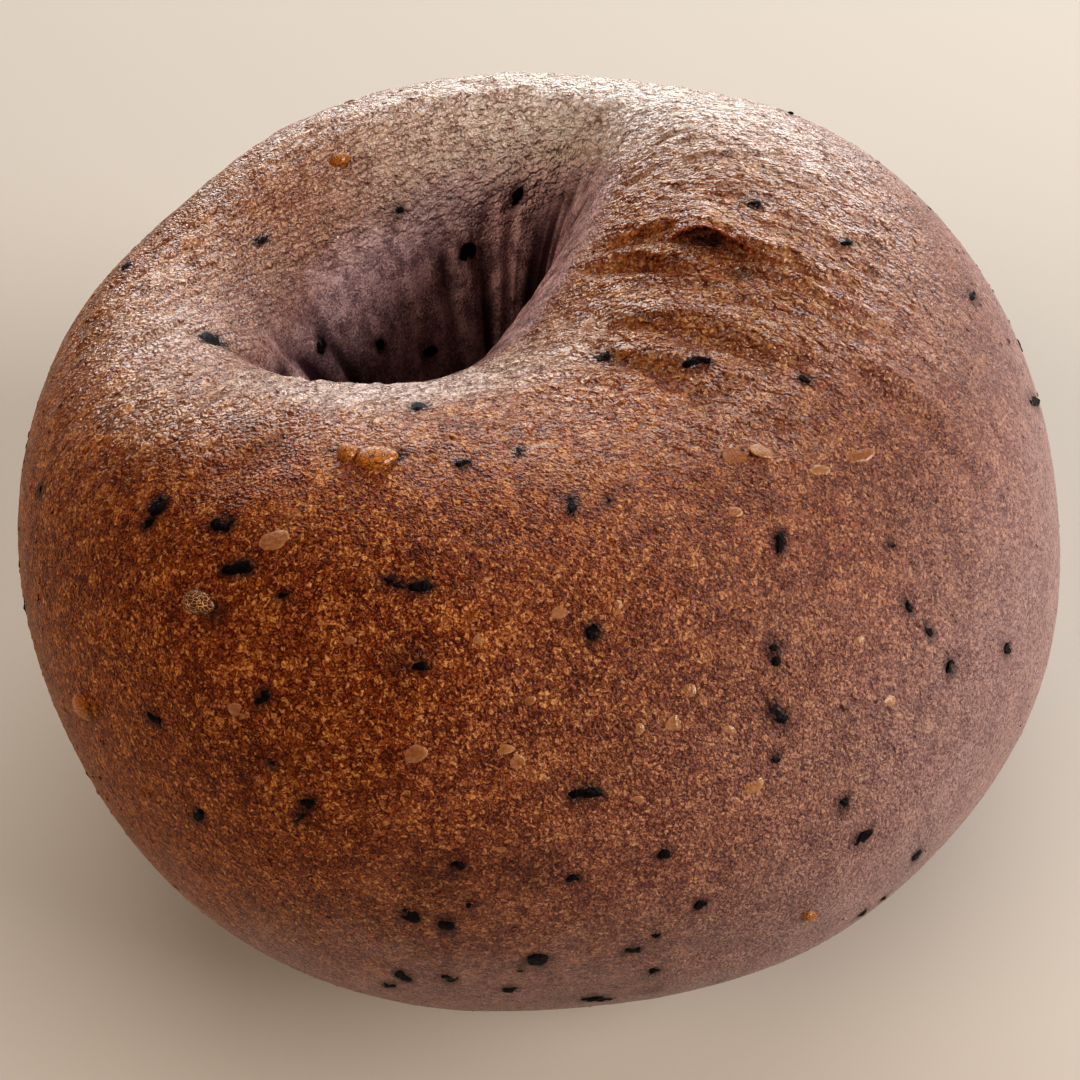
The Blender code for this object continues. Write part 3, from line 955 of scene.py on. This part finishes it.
def makeBlister():
    b = blister
    random = np.random.default_rng(b["seed"])
    stops = np.linspace(0, 1, len(b["edge"]))
    points, scorch = [], []
    for station in range(b["stations"]):
        share = station / (b["stations"] - 1)
        x = np.interp(share, stops, [corner[0] for corner in b["edge"]])
        y = np.interp(share, stops, [corner[1] for corner in b["edge"]])
        bulk = math.sin(math.pi * share ** (math.log(0.5) / math.log(b["highest"])))
        onCrust, normal = seenAt(x, y)
        behindX = x + b["behind"][0] * bulk
        behindY = y + b["behind"][1] * (0.25 + 0.75 * bulk)
        back, backNormal = seenAt(behindX, behindY)
        sight = rayThrough(camera, x, y)
        lift = b["height"] * bulk - 0.15 * mm
        front = onCrust - sight * lift / max(0.3, -sight.dot(normal))
        front = front + normal * b["ragged"] * random.uniform(-1, 1)
        back = back - backNormal * 0.12 * mm
        middle = (back + front) / 2 + normal * 0.45 * b["height"] * bulk
        thick = b["thickness"] * (0.35 + 0.65 * bulk)
        loop = []
        for step in range(b["steps"] + 1):
            t = step / b["steps"]
            loop.append(back * (1 - t) ** 2 + middle * 2 * t * (1 - t) + front * t * t)
            scorch.append(max(0.0, t - 0.5) * 2.0)
        loop.append(front - normal * thick * 0.5 + (front - back).normalized() * thick * 0.35)
        scorch.append(1.0)
        for step in range(b["steps"], -1, -1):
            t = step / b["steps"]
            loop.append(loop[step] - normal * thick * (1.0 + 0.8 * (1 - t)))
            scorch.append(1.0)
        points.append(loop)
    sides = len(points[0])
    corners = [point for loop in points for point in loop]
    faces = []
    for station in range(b["stations"] - 1):
        for side in range(sides):
            after = (side + 1) % sides
            here = station * sides
            faces.append((here + side, here + after, here + sides + after, here + sides + side))
    faces.append(tuple(reversed(range(sides))))
    faces.append(tuple(range(len(corners) - sides, len(corners))))
    mesh = bpy.data.meshes.new("blisterFlap")
    mesh.from_pydata(corners, [], faces)
    mesh.materials.append(crustMaterial)
    storeValues(mesh, "scorch", scorch)
    shape = bmesh.new()
    shape.from_mesh(mesh)
    bmesh.ops.recalc_face_normals(shape, faces=shape.faces)
    shape.to_mesh(mesh)
    shape.free()
    mesh.shade_smooth()
    flap = addObject("blisterFlap", mesh)
    borrowLook(flap)
    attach(flap, "root")
    print("blister made")


def borrowLook(piece):
    # gives the piece the crust's own grain and browning, from the nearest points of the crust
    size = len(crust.data.vertices)
    tree = KDTree(size)
    for index, vertex in enumerate(crust.data.vertices):
        tree.insert(vertex.co, index)
    tree.balance()
    nearest = [tree.find(vertex.co)[1] for vertex in piece.data.vertices]
    for name in ("grain", "top", "pale", "depth", "mottle", "broad"):
        kind, field, width = ("FLOAT_VECTOR", "vector", 3) if name == "grain" else ("FLOAT", "value", 1)
        values = np.empty(size * width, np.float32)
        crust.data.attributes[name].data.foreach_get(field, values)
        storeValues(piece.data, name, values.reshape(size, width)[nearest], kind)


# ---- flecks of dark berry skin

skins = {
    # in the photograph's pixels: x, y, length, width, and the length's lean above level in degrees
    "picked": (
        (572, 502, 20, 11, 85), (780, 542, 24, 9, 88), (777, 713, 30, 14, -38), (585, 793, 36, 12, 2),
        (592, 632, 18, 13, 80), (393, 582, 28, 11, -10), (421, 587, 26, 13, 10), (238, 568, 32, 14, 12),
        (222, 524, 24, 15, 8), (157, 506, 20, 17, 60), (148, 524, 16, 7, 55), (262, 697, 18, 12, 30),
        (153, 718, 13, 11, 0), (198, 815, 13, 9, 60), (308, 803, 16, 12, 10), (300, 818, 10, 8, 40),
        (458, 866, 14, 9, 5), (410, 915, 18, 15, 0), (446, 925, 17, 9, 0), (538, 960, 23, 12, 5),
        (450, 978, 15, 8, 10), (510, 989, 14, 7, 0), (597, 999, 30, 8, 0), (388, 985, 11, 6, 0),
        (403, 976, 14, 7, -60), (664, 855, 14, 11, 30), (700, 905, 15, 8, 15), (573, 880, 12, 10, 30),
        (775, 646, 12, 10, 0), (776, 661, 11, 9, 0), (776, 760, 9, 6, 0), (930, 632, 14, 8, -50),
        (908, 607, 12, 5, -60), (951, 667, 13, 8, 70), (1008, 648, 12, 7, 75), (917, 855, 14, 9, 50),
        (863, 912, 14, 7, 40), (862, 838, 24, 9, 38), (844, 804, 14, 9, 60), (891, 545, 9, 7, 0),
        (755, 204, 15, 7, 0), (603, 358, 16, 8, 15), (697, 362, 30, 10, 4), (805, 379, 14, 8, 0),
        (418, 407, 15, 8, 25), (214, 343, 20, 13, 5), (262, 240, 18, 7, 15), (467, 252, 20, 18, 30),
        (430, 352, 14, 12, 0), (517, 197, 22, 8, 62), (463, 463, 17, 8, 10), (518, 451, 11, 7, 0),
        (283, 595, 12, 6, 10), (972, 297, 10, 6, 60), (847, 243, 14, 5, 10), (400, 210, 12, 7, 20),
        (272, 763, 9, 6, 0), (418, 667, 18, 7, 10), (655, 970, 12, 5, 0), (398, 456, 12, 9, 0),
        (322, 345, 14, 10, 70), (380, 345, 12, 9, 50), (39, 492, 14, 6, 70), (126, 268, 9, 5, 60),
        (1035, 402, 7, 6, 0), (655, 935, 12, 5, 0), (633, 950, 13, 7, 20), (520, 970, 8, 5, 0),
        (470, 905, 8, 6, 0), (608, 500, 6, 5, 0),
    ),
    "thickness": 0.36 * mm,
    "perSquareMetre": 5200,
    "smallest": (0.5 * mm, 0.35 * mm, 0.16 * mm),
    "largest": (2.4 * mm, 1.1 * mm, 0.36 * mm),
    "sunk": 0.2,
    "ragged": 0.30 * mm,
    "raggedScale": 1500.0,
    "seed": 21,
    "skin": (0.0050, 0.0035, 0.0036),
    "sheen": (0.020, 0.013, 0.013),
}


def makeSkinMaterial():
    material, tree = newMaterial("berrySkin")
    grit = noise(placeInMm(tree), 5.0, 2.0)
    inputs = {
        "Base Color": mixColours(ramp(grit, 0.52, 0.75), skins["skin"], skins["sheen"]),
        "Roughness": ramp(grit, 0.3, 0.7, 0.4, 0.7),
        "Specular IOR Level": 0.16,
    }
    shade(tree, inputs, grit, 0.15 * mm)
    return material


# ---- pips, with a net of ridges

pips = {
    "picked": (
        # the last number is how dark the pip is
        (377, 458, 44, 25, 8, 0.1), (348, 453, 22, 18, 10, 0.0), (199, 603, 32, 27, -20, 1.0),
        (84, 707, 32, 15, -65, 0.2), (341, 160, 22, 15, 20, 0.2), (810, 915, 13, 10, 40, 0.1),
    ),
    "thickness": 1.5 * mm,
    "perSquareMetre": 420,
    "smallest": (1.2 * mm, 0.8 * mm, 0.8 * mm),
    "largest": (3.2 * mm, 1.9 * mm, 1.5 * mm),
    "sunk": 0.06,
    "ragged": 0.03 * mm,
    "raggedScale": 300.0,
    "seed": 4,
    "segments": 28,
    "rings": 20,
    "netCells": 9.0,
    # the cells and the net between them, on the palest pip and on the darkest
    "cells": ((0.48, 0.19, 0.035), (0.105, 0.034, 0.012)),
    "net": ((0.13, 0.035, 0.010), (0.60, 0.38, 0.19)),
}


def makePipShape():
    shape = makeBall("pipShape", pips["segments"], pips["rings"], bendPip)
    storeValues(shape.data, "onPip", [vertex.co[:] for vertex in shape.data.vertices], "FLOAT_VECTOR")
    return shape


def bendPip(corner):
    # blunt at one end and drawn to a point at the other, with a straighter back
    taper = 1 - 0.35 * (corner.x + 0.5) ** 2
    return Vector((corner.x, corner.y * taper + 0.10 * (0.25 - corner.x ** 2), corner.z * taper))


def makePipMaterial():
    material, tree = newMaterial("berryPip")
    onPip = attributeOf(tree, "onPip", "Vector")
    onPip = vectorCalc("ADD", onPip, vectorCalc("SCALE", noise(onPip, 5.0, 0.0, output="Color"), 0.08))
    onPip = vectorCalc("MULTIPLY", onPip, (0.7, 1.0, 1.0))
    cell = ramp(cells(onPip, pips["netCells"], "DISTANCE_TO_EDGE", rough=0.8), 0.02, 0.10)
    grit = noise(onPip, 12.0, 2.0)
    dark = ramp(attributeOf(tree, "tint"), 0.4, 0.6)
    body = mixColours(dark, *pips["cells"])
    colour = mixColours(cell, mixColours(dark, *pips["net"]), body)
    colour = mixColours(ramp(grit, 0.4, 0.7, 0.0, 0.4), colour, pips["net"][0])
    inputs = {
        "Base Color": colour,
        "Roughness": 0.28,
        "Subsurface Weight": 0.15,
        "Subsurface Scale": 0.5 * mm,
    }
    shade(tree, inputs, cell * (0.6 - dark) + grit * 0.3, 0.05 * mm)
    return material


# ---- pale flakes of bran

flakes = {
    "picked": (
        (737, 455, 28, 26, 30), (764, 450, 30, 16, -5), (415, 754, 26, 20, 10), (505, 750, 24, 12, 15),
        (519, 763, 16, 18, 0), (274, 540, 36, 20, 15), (617, 610, 14, 24, 0), (562, 612, 22, 16, 20),
        (754, 785, 22, 16, 30), (735, 512, 14, 12, 0), (237, 712, 22, 16, -40), (675, 722, 24, 16, 30),
        (590, 330, 18, 16, 0), (860, 455, 34, 14, 20), (820, 470, 22, 12, 10), (690, 690, 14, 16, 0),
        (640, 800, 14, 10, 0), (480, 640, 16, 12, 0), (530, 700, 13, 10, 20), (730, 730, 12, 10, 0),
        (505, 848, 20, 10, 20), (890, 700, 16, 12, 0), (860, 640, 14, 10, 40), (350, 640, 14, 10, 0),
        (640, 730, 12, 12, 0),
    ),
    "thickness": 0.20 * mm,
    "perSquareMetre": 4200,
    "smallest": (0.6 * mm, 0.5 * mm, 0.2 * mm),
    "largest": (2.6 * mm, 1.7 * mm, 0.26 * mm),
    "sunk": 0.2,
    "ragged": 0.16 * mm,
    "raggedScale": 900.0,
    "seed": 33,
    "pale": (0.46, 0.26, 0.135),
    "brown": (0.27, 0.110, 0.045),
}


def bendFlake(corner):
    # a flat lens, a little bent
    return Vector((corner.x, corner.y, corner.z - 0.5 * corner.x ** 2))


def makeFlakeMaterial():
    material, tree = newMaterial("branFlake")
    grit = noise(placeInMm(tree), 3.5, 3.0)
    share = 1.1 - attributeOf(tree, "rim") * 0.9 - attributeOf(tree, "tint") * 0.5 + (grit - 0.5) * 1.4
    inputs = {
        "Base Color": mixColours(share, flakes["pale"], flakes["brown"]),
        "Roughness": 0.26,
        "Subsurface Weight": 0.1,
        "Subsurface Scale": 0.6 * mm,
    }
    shade(tree, inputs, grit, 0.10 * mm)
    return material


stainsAndShadows = {
    # where the crust is darkened, in the photograph's pixels: x, y, reach in mm, and strength. Most are juice
    # stains; the first five lie along the blister's free edge and are painted shadow of the cavity under it,
    # and the last darkens the hole's left corner
    "spots": (
        (700, 240, 1.2, 1.0), (716, 242, 1.1, 1.0), (686, 243, 0.8, 0.7), (735, 252, 0.8, 0.6),
        (741, 273, 0.9, 0.7), (422, 872, 1.6, 0.4), (446, 878, 1.3, 0.4), (522, 872, 1.7, 0.45),
        (550, 858, 1.3, 0.4), (655, 990, 1.2, 0.5), (690, 992, 1.0, 0.5), (214, 612, 0.9, 0.9),
        (40, 490, 1.0, 0.8), (400, 662, 1.0, 0.5), (420, 654, 1.0, 0.5), (250, 425, 1.2, 0.4),
        (283, 372, 1.2, 0.9),
    ),
    "roundFlecks": 0.32,  # mm
    "roundStrength": 0.8,
}


def stainAndShadowCrust():
    mesh = crust.data
    flecks = finderOf(berrySkins)
    reach = stainsAndShadows["roundFlecks"] * mm
    values = np.zeros(len(mesh.vertices), np.float32)
    for index, vertex in enumerate(mesh.vertices):
        place, normal, face, far = flecks.find_nearest(vertex.co, 3 * reach)
        if place is not None:
            values[index] = stainsAndShadows["roundStrength"] * math.exp(-((far / reach) ** 2))
    points = np.array([vertex.co[:] for vertex in mesh.vertices])
    for x, y, spread, strength in stainsAndShadows["spots"]:
        middle = seenAt(x, y)[0]
        if middle is None:
            print("no crust behind a stain", x, y)
            continue
        far = np.linalg.norm(points - np.array(middle), axis=1) / (spread * mm)
        values = np.maximum(values, strength * np.exp(-far ** 2))
    storeValues(mesh, "stainAndShadow", values)


# ---- scales of crust that stand up on the crown, and the crumbs of it on every side

scales = {
    "share": "scaled",
    "alongGrain": 1.0,
    "tilt": 0.14,
    "perSquareMetre": 520000,
    "smallest": (0.45 * mm, 0.35 * mm, 0.12 * mm),
    "largest": (1.5 * mm, 0.8 * mm, 0.24 * mm),
    "sunk": 0.3,
    "ragged": 0.14 * mm,
    "raggedScale": 1200.0,
    "seed": 51,
}

crumbs = {
    "share": "crumbed",
    "alongGrain": 0.3,
    "tilt": 0.3,
    "perSquareMetre": 360000,
    "smallest": (0.24 * mm, 0.20 * mm, 0.08 * mm),
    "largest": (1.0 * mm, 0.75 * mm, 0.16 * mm),
    "sunk": 0.25,
    "ragged": 0.16 * mm,
    "raggedScale": 2200.0,
    "seed": 61,
}


finder = finderOf(crust)
markUnseen(crust)
makeBlister()
bitsTree = makeBitsTree()
skinShape = makeBall("skinShape", 12, 8, lambda corner: corner)
berrySkins = makeBits("berrySkins", bitsTree, skins, skinShape, makeSkinMaterial())
makeBits("berryPips", bitsTree, pips, makePipShape(), makePipMaterial())
flakeShape = makeBall("flakeShape", 10, 7, bendFlake)
rims = [min(1, (vertex.co.x ** 2 + vertex.co.y ** 2) * 4) ** 3 for vertex in flakeShape.data.vertices]
storeValues(flakeShape.data, "rim", rims)
makeBits("branFlakes", bitsTree, flakes, flakeShape, makeFlakeMaterial())
# juice stains round the flecks and in spots, and painted shadow under the blister
stainAndShadowCrust()
print("crust stained")
scaleShape = makeBall("scaleShape", 6, 4, lambda corner: corner)
makeBits("crustScales", bitsTree, scales, scaleShape, crustMaterial)
crumbShape = makeBall("crumbShape", 5, 3, lambda corner: corner)
makeBits("crustCrumbs", bitsTree, crumbs, crumbShape, crustMaterial)


# ---- floor and lights

stage = {
    "floorSide": 3.0,
    "floorColour": (0.53, 0.485, 0.44),
    "backdropRadius": 0.72,
    "backdropColour": (0.42, 0.37, 0.32),
    "world": (1.0, 0.95, 0.90),
    "worldStrength": 0.015,
    "lightAim": (0, 0, 0.03),
}


def makeFloor():
    material, tree = newMaterial("paleFloor")
    shade(tree, {"Base Color": (*stage["floorColour"], 1), "Roughness": 0.8})
    half = stage["floorSide"] / 2
    mesh = bpy.data.meshes.new("floor")
    corners = [(-half, -half, 0), (half, -half, 0), (half, half, 0), (-half, half, 0)]
    mesh.from_pydata(corners, [], [(0, 1, 2, 3)])
    mesh.materials.append(material)
    floor = addObject("floor", mesh)


def makeBackdrop():
    # a pale dome round the floor, which the camera sees and which lights nothing
    material, tree = newMaterial("paleBackdrop")
    shade(tree, {
        "Base Color": (0, 0, 0, 1),
        "Specular IOR Level": 0,
        "Emission Color": (*stage["backdropColour"], 1),
        "Emission Strength": 1,
    })
    shape = bmesh.new()
    bmesh.ops.create_uvsphere(shape, u_segments=64, v_segments=32, radius=stage["backdropRadius"])
    bmesh.ops.reverse_faces(shape, faces=shape.faces)
    mesh = bpy.data.meshes.new("backdrop")
    shape.to_mesh(mesh)
    shape.free()
    mesh.shade_smooth()
    mesh.materials.append(material)
    backdrop = addObject("backdrop", mesh)
    for ray in ("diffuse", "glossy", "transmission", "volume_scatter", "shadow"):
        setattr(backdrop, "visible_" + ray, False)


def makeLight(name, place, size, power, colour, shiny=True, soft=True):
    data = bpy.data.lights.new(name, "AREA")
    data.shape = "RECTANGLE"
    data.size, data.size_y = size
    data.energy = power
    data.color = colour
    light = addObject(name, data)
    light.location = place
    way = Vector(stage["lightAim"]) - Vector(place)
    light.rotation_euler = way.to_track_quat("-Z", "Y").to_euler()
    light.visible_glossy = shiny
    light.visible_diffuse = soft


def makeWorld():
    world = bpy.data.worlds.new("world")
    world.use_nodes = True
    background = world.node_tree.nodes["Background"]
    background.inputs["Color"].default_value = (*stage["world"], 1)
    background.inputs["Strength"].default_value = stage["worldStrength"]
    bpy.context.scene.world = world


makeFloor()
makeBackdrop()
makeWorld()
makeLight("backWindow", (0.06, 1.0, 0.30), (1.5, 0.5), 11.5, (0.97, 0.99, 1.0))
makeLight("highWindow", (-0.10, 0.35, 0.60), (1.0, 0.35), 1.3, (1.0, 0.99, 0.97), soft=False)
makeLight("rightWindow", (0.55, -0.10, 0.28), (0.4, 0.3), 3.4, (1.0, 0.98, 0.94))
makeLight("ceiling", (0.0, 0.20, 0.65), (0.5, 0.5), 0.8, (1.0, 0.94, 0.86), shiny=False)
makeLight("room", (-0.52, -0.34, 0.44), (0.5, 0.4), 2.9, (1.0, 0.86, 0.70), shiny=False)
bpy.context.scene.view_settings.view_transform = "Standard"
bpy.context.scene.view_settings.look = "High Contrast"
print("floor and lights made")
